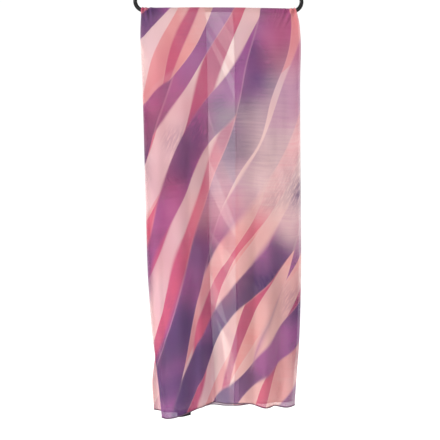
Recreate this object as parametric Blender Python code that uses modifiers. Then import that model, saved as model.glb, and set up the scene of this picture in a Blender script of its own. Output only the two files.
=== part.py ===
"""A chiffon scarf hung in half over the bar of a plain tubular hanger.

The scarf is one rectangle of cloth with a narrow hem all round. Both long sides are folded
to the inside, so its cross-section is a flat C, and the folded cloth runs down the front,
over the bar and down the back. The falls narrow towards their hems, and what they lose in
width stands in soft upright waves.

Frame: metres, +Z up, +X to the right seen from the front, which faces -Y. The origin is the
point inside the crown of the hook that rests on a rail.
"""
import math

import bmesh
import bpy
import numpy as np

# ---------------------------------------------------------------- driving sizes of the cloth
SCARF_WIDTH = 0.712
SCARF_LENGTH = 2.000
PANEL_WIDTH = 0.388        # outer panel, from one side fold to the other
WALL = 0.0010
HEM_WALL = 0.0012
HEM_WIDTH = 0.0040
SEAM_GAP = 0.0003          # between a hem and the cloth it edges
FOLD_RADIUS = 0.0016       # room kept for the round of a side fold
LAYER_ON_BAR = 0.0016      # flap to panel, middle to middle, over the bar
LAYER_IN_FALL = 0.0030     # the same where the cloth hangs loose
FOLD_OPENING_ON_BAR = 0.0028
FOLD_OPENING_IN_FALL = 0.0032
FOLD_EASE = 0.012          # how far the opening of a fold reaches across the panel
LOOSE_FROM = 0.06          # share of a fall over which the layers come loose
SPREAD = 0.003             # how far each fall drifts outwards by its hem
BAR_STRETCH = 0.030        # cloth each side of the bar's top that counts as the turn
WAVE_EASE = 0.8            # below 1 a wave swells early in its fall
PUCKER_ON_TOP = 0.25       # share of a pucker's rise left on top of the bar, where cloth is taut

# ---------------------------------------------------------------- driving sizes of the hanger
HANGER_WIDTH = 0.4176      # over the outsides of the bends
TUBE_RADIUS = 0.005
HOOK_RADIUS = 0.004
BEND_RADIUS = 0.0245
BAR_DROP = 0.2078          # from the rail down to the middle of the bar, where it bows highest
BAR_BOW = 0.0029           # how much lower the bar is at BOW_REACH from there
BOW_MIDDLE = -0.033
BOW_REACH = 0.190
BAR_STEPS = 14             # straight pieces that the bowed bar is drawn with
SHOULDER_SLOPE = math.radians(22)
PEAK_RADIUS = 0.030
CROWN_RADIUS = 0.0215
CROWN_START = math.radians(200)   # where the hook's open tip stands on its circle
CROWN_END = math.radians(-50)     # where the hook turns back to the stem
STEM_SINK = 0.4            # share of the tube's radius that the stem runs into the peak
REST_GAP = 0.00035         # cloth to bar

# ---------------------------------------------------------------- driving sizes of the label
LABEL_MIDDLE = -0.085
LABEL_WIDTH = 0.034
LABEL_ON_HEM = 0.0055      # how far it is sewn up over the hem
LABEL_BELOW = 0.0130       # how far it hangs below the hem
LABEL_WALL = 0.0010

# ---------------------------------------------------------------- how finely it is divided
FALL_PITCH = 0.0135        # between stations across the falls
TURN_PITCH = 0.030         # the same over the bar, where the cloth is plain
CLOSE_PITCH = 0.0045       # between the stations nearest a side fold
CLOSE_IN_FALL = 4          # how many stations stand close together by a side fold
CLOSE_ON_BAR = 6
FALL_SHARES = (0.045, 0.085, 0.15, 0.24, 0.35, 0.46, 0.57, 0.67, 0.76, 0.84, 0.91, 0.96)
ROW_SPARE = 0.004          # least cloth between two rows
FOLD_STEPS = 4             # faces round a side fold
QUARTER_STEPS = 4          # faces round a quarter of the bar
BEND_STEP = math.radians(8)
CROWN_STEP = math.radians(11)
BACK_STEP = math.radians(10)
TIP_STEPS = 3              # rings that round the hook's tip
TIP_FLAT = 0.4             # part of a step left as a small flat end
WAVE_SAMPLES = 241         # points along a row when its cloth is shared out
PROBE_STEP = 0.0004        # cloth each side of a point when its slope is measured
WELD_DISTANCE = 1e-6
ROUNDING = 1e-9

# ---------------------------------------------------------------- tables of the drape
# Side folds: share of the way from bar to hem, and the x of each fold there.
FOLD_COLUMNS = ("down", "front_left", "front_right", "back_left", "back_right")
SIDE_FOLDS = (
    (0.000, -0.1890, 0.1900, -0.1885, 0.1890),
    (0.025, -0.1900, 0.1960, -0.1890, 0.1940),
    (0.065, -0.1908, 0.2000, -0.1890, 0.1970),
    (0.200, -0.1855, 0.1997, -0.1835, 0.1968),
    (0.450, -0.1785, 0.2010, -0.1765, 0.1975),
    (0.700, -0.1705, 0.2015, -0.1675, 0.1978),
    (0.790, -0.1633, 0.1998, -0.1612, 0.1960),
    (0.860, -0.1538, 0.1965, -0.1562, 0.1930),
    (0.925, -0.1450, 0.1910, -0.1620, 0.1878),
    (1.000, -0.1370, 0.1860, -0.1580, 0.1815),
)

# Hems: share of the way from the left fold to the right one, and how far each hem hangs
# below the middle of the bar.
HEM_COLUMNS = ("across", "front", "back")
HEM_DROPS = (
    (0.000, 0.9985, 0.9835),
    (0.030, 1.0005, 0.9855),
    (0.088, 0.9968, 0.9865),
    (0.149, 0.9893, 0.9855),
    (0.200, 0.9833, 0.9845),
    (0.290, 0.9725, 0.9795),
    (0.375, 0.9650, 0.9735),
    (0.500, 0.9630, 0.9725),
    (0.664, 0.9635, 0.9680),
    (0.735, 0.9692, 0.9655),
    (0.774, 0.9725, 0.9645),
    (0.836, 0.9700, 0.9635),
    (0.960, 0.9722, 0.9625),
    (1.000, 0.9680, 0.9595),
)

# Upright waves that both falls share: x at the bar and at the hem, share of the way down
# where the wave starts, half width, and rise towards the front at the hem.
WAVE_COLUMNS = ("x_bar", "x_hem", "start", "half_width", "rise")
WAVES = (
    (-0.190, -0.150, 0.30, 0.017, -0.016),
    (-0.105, -0.092, 0.12, 0.027, 0.018),
    (-0.022, -0.012, 0.18, 0.020, -0.020),
    (0.055, 0.058, 0.25, 0.026, 0.010),
    (0.150, 0.112, 0.50, 0.017, 0.013),
    (0.185, 0.143, 0.55, 0.016, -0.010),
    (0.225, 0.196, 0.40, 0.016, -0.009),
)

# Puckers where the cloth is pushed together by the bends of the bar: x on the bar, sideways
# drift over a whole fall, half width, rise off the bar, and share of a fall they reach down.
PUCKER_COLUMNS = ("x_bar", "drift", "half_width", "rise", "reach")
PUCKERS = (
    (-0.1830, 0.10, 0.0035, 0.0018, 0.014),
    (-0.1743, 0.18, 0.0040, 0.0022, 0.026),
    (-0.1612, 0.10, 0.0060, 0.0012, 0.022),
    (0.1610, -0.35, 0.0065, 0.0016, 0.030),
    (0.1738, -0.45, 0.0045, 0.0024, 0.026),
    (0.1826, 0.20, 0.0035, 0.0020, 0.022),
)

# ---------------------------------------------------------------- sizes worked out from those
HALF_LENGTH = SCARF_LENGTH / 2
RING = TUBE_RADIUS + REST_GAP + HEM_WALL / 2          # bar's middle to the flap's middle
QUARTER = RING * math.pi / 2                           # cloth on a quarter of the bar
FLAP_REACH = FOLD_RADIUS + (SCARF_WIDTH - PANEL_WIDTH + 2 * FOLD_RADIUS
                            - 2 * math.pi * FOLD_RADIUS) / 2
BEND_MIDDLE = HANGER_WIDTH / 2 - TUBE_RADIUS - BEND_RADIUS
CROWN_HEIGHT = HOOK_RADIUS - CROWN_RADIUS              # middle of the hook's circle
CLOTH_END = HALF_LENGTH - HEM_WIDTH - SEAM_GAP
TURN_END = BAR_STRETCH - SEAM_GAP / 2                  # last row of the turn over the bar
FALL_START = BAR_STRETCH + SEAM_GAP / 2                # first row of a fall


# ---------------------------------------------------------------- reading the tables
def named_rows(rows, names):
    """The rows of a table, each by its column names."""
    return [dict(zip(names, row)) for row in rows]


def column(rows, names, name):
    """One named column of a table."""
    return np.array([row[name] for row in named_rows(rows, names)])


def smooth(at, knots, values):
    """Read a smooth curve through a table's points, held level past both ends."""
    at = np.clip(at, knots[0], knots[-1])
    slopes = np.gradient(values, knots)
    i = np.clip(np.searchsorted(knots, at) - 1, 0, len(knots) - 2)
    span = knots[i + 1] - knots[i]
    u = (at - knots[i]) / span
    return ((1 + 2 * u) * (1 - u) ** 2 * values[i] + u * (1 - u) ** 2 * span * slopes[i]
            + u ** 2 * (3 - 2 * u) * values[i + 1] - u ** 2 * (1 - u) * span * slopes[i + 1])


def ramp(share):
    """Ease from 0 to 1."""
    share = np.clip(share, 0, 1)
    return share * share * (3 - 2 * share)


def fold_x(down, side, edge):
    """x of a side fold. side is 1 at the front and -1 at the back."""
    name = ("front_" if side > 0 else "back_") + edge
    return smooth(down, column(SIDE_FOLDS, FOLD_COLUMNS, "down"),
                  column(SIDE_FOLDS, FOLD_COLUMNS, name))


def hem_drop(across, side):
    """How far a hem hangs below the middle of the bar."""
    return smooth(across, column(HEM_DROPS, HEM_COLUMNS, "across"),
                  column(HEM_DROPS, HEM_COLUMNS, "front" if side > 0 else "back"))


def bar_bow(x):
    """How far the bowed bar has come down at each x."""
    return BAR_BOW * ((x - BOW_MIDDLE) / BOW_REACH) ** 2


def wave(x, down):
    """Rise of the shared waves towards the front."""
    rise = np.zeros_like(x)
    for row in named_rows(WAVES, WAVE_COLUMNS):
        middle = row["x_bar"] + (row["x_hem"] - row["x_bar"]) * down
        strength = row["rise"] * ramp((down - row["start"]) / (1 - row["start"])) ** WAVE_EASE
        rise = rise + strength * np.exp(-((x - middle) / row["half_width"]) ** 2)
    return rise


def pucker(x, down):
    """Rise of the puckers off the bar and off the top of the falls."""
    rise = np.zeros_like(x)
    for row in named_rows(PUCKERS, PUCKER_COLUMNS):
        off_middle = (x - row["x_bar"] - row["drift"] * down) / row["half_width"]
        rise = rise + row["rise"] * np.exp(-off_middle ** 2 - (down / row["reach"]) ** 2)
    return rise


# ---------------------------------------------------------------- the surface the flaps lie on
def across_row(s, down, side):
    """x for each distance s across the panel, shared out evenly along the waves."""
    left = fold_x(down, side, "left")
    right = fold_x(down, side, "right")
    x = np.linspace(left, right, WAVE_SAMPLES)
    steps = np.hypot(np.diff(x), np.diff(wave(x, down)))
    length = np.concatenate(([0], np.cumsum(steps)))
    return np.interp(s / PANEL_WIDTH * length[-1], length, x)


def rest_point(s, v):
    """Point of the inner surface at s across the panel and v along the scarf from the bar.

    v is positive down the front and negative down the back. s is an array, v a number.
    """
    side = 1 if v >= 0 else -1
    past = abs(v) - QUARTER
    down = min(max(past, 0) / (HALF_LENGTH - QUARTER), 1)
    turn = min(abs(v) / RING, math.pi / 2)
    x = across_row(s, down, side)
    over = np.clip(np.abs(x) - BEND_MIDDLE, 0, None)
    lean = np.arcsin(over / BEND_RADIUS) * np.sign(x)
    bar_rise = BEND_RADIUS * (1 - np.cos(lean)) - bar_bow(x)
    slack = PUCKER_ON_TOP + (1 - PUCKER_ON_TOP) * math.sin(turn)
    ring = RING + pucker(x, down) * slack
    if past < 0:
        return np.stack([x - ring * math.cos(turn) * np.sin(lean),
                         -side * ring * math.sin(turn),
                         bar_rise + ring * math.cos(turn) * np.cos(lean) - BAR_DROP], axis=-1)
    left = fold_x(down, side, "left")
    right = fold_x(down, side, "right")
    drop = hem_drop((x - left) / (right - left), side) * past / (HALF_LENGTH - QUARTER)
    y = -side * (ring + SPREAD * ramp(down)) - wave(x, down)
    return np.stack([x, y, bar_rise * (1 - down) - drop - BAR_DROP], axis=-1)


def lifted_point(s, lift, v):
    """A point that stands off the inner surface by lift, square to it."""
    along = rest_point(s, v + PROBE_STEP) - rest_point(s, v - PROBE_STEP)
    across = rest_point(s + PROBE_STEP, v) - rest_point(s - PROBE_STEP, v)
    out = np.cross(along, across)
    out /= np.linalg.norm(out, axis=-1, keepdims=True)
    return rest_point(s, v) + out * lift[:, None]


def panel_lift(s, v):
    """How far the outer panel lies off the flaps, more beside the side folds."""
    loose = ramp((abs(v) - QUARTER) / (LOOSE_FROM * HALF_LENGTH))
    layer = LAYER_ON_BAR + (LAYER_IN_FALL - LAYER_ON_BAR) * loose
    opening = FOLD_OPENING_ON_BAR + (FOLD_OPENING_IN_FALL - FOLD_OPENING_ON_BAR) * loose
    from_fold = np.minimum(s, PANEL_WIDTH - s) - FOLD_RADIUS
    return layer + (opening - layer) * np.exp(-np.maximum(from_fold, 0) / FOLD_EASE)


# ---------------------------------------------------------------- stations across and along
def stations(pitch, close_count):
    """Places across the panel: close together by the folds, and on both flaps' hem lines."""
    close = [FOLD_RADIUS + n * CLOSE_PITCH for n in range(close_count)]
    hem_line = FLAP_REACH - HEM_WIDTH
    lines = [FLAP_REACH, hem_line, hem_line - SEAM_GAP, hem_line - SEAM_GAP - CLOSE_PITCH]
    first, last = close[-1], lines[-1]
    count = round((last - first) / pitch)
    half = close + [first + (last - first) * n / count for n in range(1, count)] + lines[::-1]
    mirrored = [PANEL_WIDTH - s for s in reversed(half)]
    middle = PANEL_WIDTH - 2 * FLAP_REACH
    count = max(round(middle / pitch), 1)
    return half + [FLAP_REACH + middle * n / count for n in range(1, count)] + mirrored


def section(places, hemmed):
    """The C across the cloth, as (station, turn) pairs.

    turn is 0 on a flap, pi on the panel, and in between round a fold. A hemmed section runs
    to the very edges of the cloth, and a plain one stops where the long hems begin.
    """
    reach = FLAP_REACH if hemmed else FLAP_REACH - HEM_WIDTH - SEAM_GAP
    near = [s for s in places if s <= reach + ROUNDING]
    far = [s for s in places if s >= PANEL_WIDTH - reach - ROUNDING]
    turns = [math.pi * n / FOLD_STEPS for n in range(1, FOLD_STEPS)]
    round_left = [(near[0], turn) for turn in turns]
    round_right = [(far[-1], turn) for turn in reversed(turns)]
    return ([(s, 0.0) for s in reversed(near)] + round_left + [(s, math.pi) for s in places]
            + round_right + [(s, 0.0) for s in reversed(far)])


def section_points(pairs, v):
    """The points of a section at v along the scarf."""
    base = np.array([pair[0] for pair in pairs])
    turn = np.array([pair[1] for pair in pairs])
    lift = panel_lift(base, v)
    outwards = np.where(base < PANEL_WIDTH / 2, -1.0, 1.0)
    s = base + outwards * np.sin(turn) * lift / 2
    return lifted_point(s, lift * (1 - np.cos(turn)) / 2, v)


FALL_STATIONS = stations(FALL_PITCH, CLOSE_IN_FALL)
TURN_STATIONS = stations(TURN_PITCH, CLOSE_ON_BAR)


def fall_rows(first, last):
    """Places along a fall, from just below the bar to its last row."""
    inside = [QUARTER + share * (HALF_LENGTH - QUARTER) for share in FALL_SHARES]
    return [first] + [v for v in inside if first + ROW_SPARE < v < last - ROW_SPARE] + [last]


def bar_rows(end):
    """Places along the cloth over the bar, from back to front."""
    quarter = [QUARTER * n / QUARTER_STEPS for n in range(1, QUARTER_STEPS + 1)]
    half = quarter + [QUARTER + (end - QUARTER) / 2, end]
    return [-v for v in reversed(half)] + [0.0] + half


def stretches():
    """The rows of each stretch of cloth: front, over the bar, and back."""
    front = fall_rows(FALL_START, CLOTH_END)
    return {"front": front, "turn": bar_rows(TURN_END), "back": [-v for v in reversed(front)]}


# ---------------------------------------------------------------- making objects
def make_material(name, color, roughness, metallic=0.0):
    """A Principled material."""
    material = bpy.data.materials.new(name)
    material.use_nodes = True
    shader = material.node_tree.nodes["Principled BSDF"]
    shader.inputs["Base Color"].default_value = (*color, 1.0)
    shader.inputs["Roughness"].default_value = roughness
    shader.inputs["Metallic"].default_value = metallic
    material.diffuse_color = (*color, 1.0)
    return material


def new_object(name, mesh, material, collection):
    """Put a mesh in the scene as a named object with its own material."""
    thing = bpy.data.objects.new(name, mesh)
    mesh.materials.clear()
    mesh.materials.append(material)
    collection.objects.link(thing)
    return thing


def cloth_sheet(name, rows, wall, material, collection):
    """Bend a grid over rows of points, and give it a wall on both sides."""
    work = bmesh.new()
    columns = len(rows[0]) - 1
    steps = len(rows) - 1
    bmesh.ops.create_grid(work, x_segments=columns, y_segments=steps, size=1.0)
    for vertex in work.verts:
        i = round((vertex.co.x + 1) / 2 * columns)
        j = round((vertex.co.y + 1) / 2 * steps)
        vertex.co = rows[j][i]
    mesh = bpy.data.meshes.new(name)
    work.to_mesh(mesh)
    work.free()
    mesh.shade_smooth()
    sheet = new_object(name, mesh, material, collection)
    thicken = sheet.modifiers.new("wall", "SOLIDIFY")
    thicken.thickness = wall
    thicken.offset = 0.0
    thicken.use_even_offset = True
    return sheet


def tube_object(name, points, radii, bevel, closed, collection):
    """A round tube on a poly curve through points of the XZ plane."""
    curve = bpy.data.curves.new(name, "CURVE")
    curve.dimensions = "3D"
    curve.bevel_depth = bevel
    curve.bevel_resolution = 4
    curve.use_fill_caps = not closed
    spline = curve.splines.new("POLY")
    spline.points.add(len(points) - 1)
    for target, (x, z), radius in zip(spline.points, points, radii):
        target.co = (x, 0.0, z, 1.0)
        target.radius = radius
    spline.use_cyclic_u = closed
    thing = bpy.data.objects.new(name, curve)
    collection.objects.link(thing)
    return thing


def tube_to_mesh(thing, material, collection):
    """Turn a tube into a closed mesh with welded caps, and remove the curve."""
    graph = bpy.context.evaluated_depsgraph_get()
    mesh = bpy.data.meshes.new_from_object(thing.evaluated_get(graph))
    work = bmesh.new()
    work.from_mesh(mesh)
    bmesh.ops.remove_doubles(work, verts=work.verts, dist=WELD_DISTANCE)
    bmesh.ops.recalc_face_normals(work, faces=work.faces)
    work.to_mesh(mesh)
    work.free()
    name = thing.name
    place = thing.matrix_world.copy()
    curve = thing.data
    bpy.data.objects.remove(thing)
    bpy.data.curves.remove(curve)
    made = new_object(name, mesh, material, collection)
    made.matrix_world = place
    return made


def arc(middle, radius, start, end, step):
    """Points along an arc, both ends included."""
    count = max(2, math.ceil(abs(end - start) / step))
    angles = [start + (end - start) * n / count for n in range(count + 1)]
    return [(middle[0] + radius * math.cos(a), middle[1] + radius * math.sin(a)) for a in angles]


# ---------------------------------------------------------------- the sub-parts
def hanger_loop_points():
    """The hanger's loop in the XZ plane: bowed bar, bends, sloping shoulders, rounded peak."""
    bend_height = BEND_RADIUS - BAR_DROP
    shoulder_turn = math.pi / 2 - SHOULDER_SLOPE
    right = arc((BEND_MIDDLE, bend_height), BEND_RADIUS, -math.pi / 2, shoulder_turn, BEND_STEP)
    start_x, start_z = right[-1]
    peak = start_z + start_x * math.tan(SHOULDER_SLOPE)
    peak_middle = peak - PEAK_RADIUS / math.cos(SHOULDER_SLOPE)
    top = arc((0.0, peak_middle), PEAK_RADIUS, shoulder_turn, math.pi - shoulder_turn, BEND_STEP)
    left = [(-x, z) for x, z in reversed(right)]
    bar = [(x, -BAR_DROP) for x in np.linspace(-BEND_MIDDLE, BEND_MIDDLE, BAR_STEPS + 1)[1:-1]]
    line = [(x, z - bar_bow(x)) for x, z in right + top + left + bar]
    return line, peak_middle + PEAK_RADIUS


def hook_points(foot):
    """The hook's line: crown, turn back to the middle, and straight stem."""
    crown = arc((0.0, CROWN_HEIGHT), CROWN_RADIUS, CROWN_START, CROWN_END, CROWN_STEP)
    turn = math.pi / 2 + CROWN_END
    side = CROWN_RADIUS * math.cos(CROWN_END)
    radius = side / (1 - math.cos(math.pi / 2 - turn))
    end_x, end_z = crown[-1]
    bend_middle = (end_x - radius * math.cos(CROWN_END), end_z - radius * math.sin(CROWN_END))
    back = [(2 * end_x - x, 2 * end_z - z) for x, z in
            arc(bend_middle, radius, CROWN_END, 0.0, BACK_STEP)]
    return crown + back[1:] + [(0.0, foot)]


def rounded_tip(line, radius):
    """Points past the start of a line, and the share of its radius at each, for a round end."""
    (tip_x, tip_z), (next_x, next_z) = line[:2]
    length = math.hypot(tip_x - next_x, tip_z - next_z)
    away = ((tip_x - next_x) / length, (tip_z - next_z) / length)
    points, radii = [], []
    for n in range(TIP_STEPS, 0, -1):
        angle = math.pi / 2 * n / (TIP_STEPS + TIP_FLAT)
        reach = radius * math.sin(angle)
        points.append((tip_x + away[0] * reach, tip_z + away[1] * reach))
        radii.append(math.cos(angle))
    return points, radii


def make_hanger(material, collection):
    """The hanger: loop and hook as one moulded piece."""
    loop, peak = hanger_loop_points()
    body = tube_object("hanger", loop, [1.0] * len(loop), TUBE_RADIUS, True, collection)
    body = tube_to_mesh(body, material, collection)
    line = hook_points(peak - TUBE_RADIUS * STEM_SINK)
    tip, tip_radii = rounded_tip(line, HOOK_RADIUS)
    radii = tip_radii + [1.0] * len(line)
    hook = tube_object("hook_cutter", tip + line, radii, HOOK_RADIUS, False, collection)
    hook = tube_to_mesh(hook, material, collection)
    union = body.modifiers.new("hook", "BOOLEAN")
    union.operation = "UNION"
    union.solver = "EXACT"
    union.object = hook
    graph = bpy.context.evaluated_depsgraph_get()
    joined = bpy.data.meshes.new_from_object(body.evaluated_get(graph))
    body.modifiers.clear()
    body.data = joined
    bpy.data.objects.remove(hook)
    joined.shade_smooth()
    joined.set_sharp_from_angle(angle=math.radians(50))
    return body


def make_cloth(name, stretch, places, material, collection):
    """One stretch of the cloth that shows: front fall, turn over the bar or back fall."""
    shape = section(places, hemmed=False)
    points = [section_points(shape, v) for v in stretches()[stretch]]
    cloth_sheet(name, points, WALL, material, collection)


def make_end_hem(name, side, material, collection):
    """A narrow hem along one short end."""
    pairs = section(FALL_STATIONS, hemmed=True)
    rows = [side * (HALF_LENGTH - HEM_WIDTH), side * HALF_LENGTH]
    points = [section_points(pairs, v) for v in sorted(rows)]
    cloth_sheet(name, points, HEM_WALL, material, collection)


def make_long_hem(edge, material, collection):
    """A narrow hem along one long side, folded in with its flap, one piece for each stretch."""
    outer, inner = FLAP_REACH, FLAP_REACH - HEM_WIDTH
    if edge == "right":
        outer, inner = PANEL_WIDTH - inner, PANEL_WIDTH - outer
    pairs = [(outer, 0.0), (inner, 0.0)]
    for stretch, rows in stretches().items():
        points = [section_points(pairs, v) for v in rows]
        cloth_sheet(f"{edge}_hem_{stretch}", points, HEM_WALL, material, collection)


def make_label(material, collection):
    """A small loop label, sewn to the inside of the back panel's hem and hanging below it."""
    s = np.array(FALL_STATIONS)
    x = rest_point(s, -HALF_LENGTH)[:, 0]
    first = np.argmin(abs(x - LABEL_MIDDLE + LABEL_WIDTH / 2))
    last = np.argmin(abs(x - LABEL_MIDDLE - LABEL_WIDTH / 2))
    places = s[first:last + 1]
    sink = HEM_WALL / 2 + SEAM_GAP + LABEL_WALL / 2
    rows = []
    for v in (HALF_LENGTH + LABEL_BELOW, HALF_LENGTH - LABEL_ON_HEM):
        rows.append(lifted_point(places, panel_lift(places, -v) - sink, -v))
    cloth_sheet("loop_label", rows, LABEL_WALL, material, collection)


def main():
    """Build the scarf on its hanger."""
    for thing in list(bpy.data.objects):
        bpy.data.objects.remove(thing, do_unlink=True)
    collection = bpy.data.collections.new("chiffon_scarf_on_hanger")
    bpy.context.scene.collection.children.link(collection)

    make_hanger(make_material("black_plastic", (0.012, 0.012, 0.013), 0.22), collection)
    make_cloth("front_fall", "front", FALL_STATIONS,
               make_material("chiffon_front", (0.62, 0.36, 0.47), 0.6), collection)
    make_cloth("turn_over_bar", "turn", TURN_STATIONS,
               make_material("chiffon_turn", (0.66, 0.42, 0.50), 0.6), collection)
    make_cloth("back_fall", "back", FALL_STATIONS,
               make_material("chiffon_back", (0.52, 0.30, 0.44), 0.6), collection)
    make_end_hem("front_hem", 1, make_material("front_hem", (0.20, 0.10, 0.16), 0.7), collection)
    make_end_hem("back_hem", -1, make_material("back_hem", (0.20, 0.10, 0.16), 0.7), collection)
    for edge in ("left", "right"):
        make_long_hem(edge, make_material(edge + "_hem", (0.30, 0.16, 0.24), 0.7), collection)
    make_label(make_material("black_ribbon", (0.01, 0.01, 0.01), 0.8), collection)


main()
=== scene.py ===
# %% [markdown]
# # A sheer printed scarf on a tubular hanger
#
# The real scarf is one rectangle of printed chiffon, 0.71 m by 2.00 m, with a narrow rolled hem
# all round. Its long sides are folded in, and the folded strip hangs in half over the bar of a
# black plastic hanger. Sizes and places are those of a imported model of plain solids, and this
# lesson makes what an eye would study: thin cloth in real layers, rolled hems and their
# stitches, the ribbon loop, the moulded hanger, and the finish of each.

# %% The frame
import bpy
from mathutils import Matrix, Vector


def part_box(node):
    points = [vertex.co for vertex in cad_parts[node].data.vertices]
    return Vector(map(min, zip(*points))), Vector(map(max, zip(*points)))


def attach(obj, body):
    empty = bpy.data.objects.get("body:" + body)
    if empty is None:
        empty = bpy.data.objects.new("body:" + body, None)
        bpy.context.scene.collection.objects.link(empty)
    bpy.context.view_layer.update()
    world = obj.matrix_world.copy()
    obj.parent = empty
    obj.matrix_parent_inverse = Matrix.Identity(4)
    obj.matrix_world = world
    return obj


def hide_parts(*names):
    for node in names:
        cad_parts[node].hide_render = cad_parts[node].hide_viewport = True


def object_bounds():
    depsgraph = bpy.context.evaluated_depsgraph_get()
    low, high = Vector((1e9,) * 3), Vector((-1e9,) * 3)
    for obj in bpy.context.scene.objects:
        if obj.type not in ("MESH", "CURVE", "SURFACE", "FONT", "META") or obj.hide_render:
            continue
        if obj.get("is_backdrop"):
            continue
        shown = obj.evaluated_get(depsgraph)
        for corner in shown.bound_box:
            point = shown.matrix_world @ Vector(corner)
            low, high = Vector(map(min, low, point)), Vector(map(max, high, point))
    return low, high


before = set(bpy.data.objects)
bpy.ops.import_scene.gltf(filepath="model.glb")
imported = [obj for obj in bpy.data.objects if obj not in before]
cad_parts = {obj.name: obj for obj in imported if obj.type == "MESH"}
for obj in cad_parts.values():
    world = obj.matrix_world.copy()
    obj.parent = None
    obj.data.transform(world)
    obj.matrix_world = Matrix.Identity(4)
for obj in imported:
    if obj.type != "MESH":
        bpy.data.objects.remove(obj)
cad_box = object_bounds()
print("solids in the frame:", ", ".join(sorted(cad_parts)))

# %% Tools
import math

import bmesh
import bpy
import numpy as np
from mathutils import Matrix, Vector

# %% [markdown]
# ## The cut
#
# A dressmaker starts from the flat cut, and so does this script. The outer panel runs from one
# side fold to the other, and the flaps are what is left of the width. Every point of the cloth
# is found from two numbers: s, the distance across the panel, and v, the distance along the
# scarf from the top of the bar, positive down the front and negative down the back.

# %% Sizes of the cut
SCARF_WIDTH = 0.712
SCARF_LENGTH = 2.000
HALF_LENGTH = SCARF_LENGTH / 2
PANEL_WIDTH = 0.388
FOLD_RADIUS = 0.0016
FLAP_REACH = FOLD_RADIUS + (SCARF_WIDTH - PANEL_WIDTH + 2 * FOLD_RADIUS
                            - 2 * math.pi * FOLD_RADIUS) / 2
ROLL_WIDTH = 0.0028
ROLL_THICKNESS = 0.0014
print(f"each flap reaches {FLAP_REACH * 1000:.1f} mm behind the panel")

# %% Sizes of the hanger's bar
TUBE_RADIUS = 0.005
BAR_DROP = 0.2078
HANGER_WIDTH = 0.4176
BEND_RADIUS = 0.0245
BEND_MIDDLE = HANGER_WIDTH / 2 - TUBE_RADIUS - BEND_RADIUS
RING_RADIUS = 0.0058
QUARTER_TURN = RING_RADIUS * math.pi / 2
FALL_LENGTH = HALF_LENGTH - QUARTER_TURN
BAR_BOW = 0.0029
BOW_MIDDLE = -0.033
BOW_REACH = 0.190


def bar_bow(x):
    """How far the bowed bar has come down at each x. It is highest a little left of the middle."""
    return BAR_BOW * ((x - BOW_MIDDLE) / BOW_REACH) ** 2


print(f"the bar's right end hangs {bar_bow(BEND_MIDDLE) * 1000:.1f} mm below its highest point")
hanger_low, hanger_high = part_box("hanger")
print(f"the solid hanger is {(hanger_high.x - hanger_low.x) * 1000:.1f} mm wide,",
      f"and its bar is {-hanger_low.z * 1000:.0f} mm below the rail")

# %% [markdown]
# ## How it hangs
#
# The drape is held in short tables with named columns. Side folds and hems are read as smooth
# curves through a few rows. Waves are soft upright ridges and troughs that grow towards the
# hems. Puckers are where the bends of the bar push the cloth together. Creases are the finer
# marks that thin cloth keeps, each a straight soft line that fades in and out.

# %% Reading a table
def table(names, *rows):
    """A short table as one array for each named column."""
    return dict(zip(names.split(), np.array(rows, dtype=float).T))


def smooth(at, knots, values):
    """Read a smooth curve through a table's points, held level past both ends."""
    at = np.clip(at, knots[0], knots[-1])
    slopes = np.gradient(values, knots)
    i = np.clip(np.searchsorted(knots, at) - 1, 0, len(knots) - 2)
    span = knots[i + 1] - knots[i]
    u = (at - knots[i]) / span
    return ((1 + 2 * u) * (1 - u) ** 2 * values[i] + u * (1 - u) ** 2 * span * slopes[i]
            + u ** 2 * (3 - 2 * u) * values[i + 1] - u ** 2 * (1 - u) * span * slopes[i + 1])


def ramp(share):
    """Ease from 0 to 1."""
    share = np.clip(share, 0, 1)
    return share * share * (3 - 2 * share)


# %% Side folds and hems
SIDE_FOLDS = table(
    "down  front_left  front_right  back_left  back_right",
    (0.000, -0.1890, 0.1900, -0.1885, 0.1890),
    (0.025, -0.1900, 0.1960, -0.1890, 0.1940),
    (0.065, -0.1908, 0.2000, -0.1890, 0.1970),
    (0.200, -0.1855, 0.1997, -0.1835, 0.1968),
    (0.450, -0.1785, 0.2010, -0.1765, 0.1975),
    (0.700, -0.1705, 0.2015, -0.1675, 0.1978),
    (0.790, -0.1633, 0.1998, -0.1612, 0.1960),
    (0.860, -0.1538, 0.1965, -0.1562, 0.1930),
    (0.925, -0.1450, 0.1910, -0.1620, 0.1878),
    (1.000, -0.1370, 0.1860, -0.1580, 0.1815),
)
HEM_DROPS = table(
    "across  front   back",
    (0.000, 0.9985, 0.9835),
    (0.030, 1.0005, 0.9855),
    (0.088, 0.9968, 0.9865),
    (0.149, 0.9893, 0.9855),
    (0.200, 0.9833, 0.9845),
    (0.290, 0.9725, 0.9795),
    (0.375, 0.9650, 0.9735),
    (0.500, 0.9630, 0.9725),
    (0.664, 0.9635, 0.9680),
    (0.735, 0.9692, 0.9655),
    (0.774, 0.9725, 0.9645),
    (0.836, 0.9700, 0.9635),
    (0.960, 0.9722, 0.9625),
    (1.000, 0.9680, 0.9595),
)


def face_name(side):
    """The name of a half of the scarf. side is 1 at the front and -1 at the back."""
    return "front" if side > 0 else "back"


def fold_places(down, side):
    """x of the left and the right side fold, a share of the way down a half."""
    face = face_name(side)
    return [smooth(down, SIDE_FOLDS["down"], SIDE_FOLDS[face + end])
            for end in ("_left", "_right")]


def hem_drop(across, side):
    """How far a hem hangs below the middle of the bar."""
    return smooth(across, HEM_DROPS["across"], HEM_DROPS[face_name(side)])


for side in (1, -1):
    left, right = fold_places(0.45, side)
    print(f"{face_name(side)}: {(right - left) * 1000:.0f} mm wide at mid height")

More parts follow.
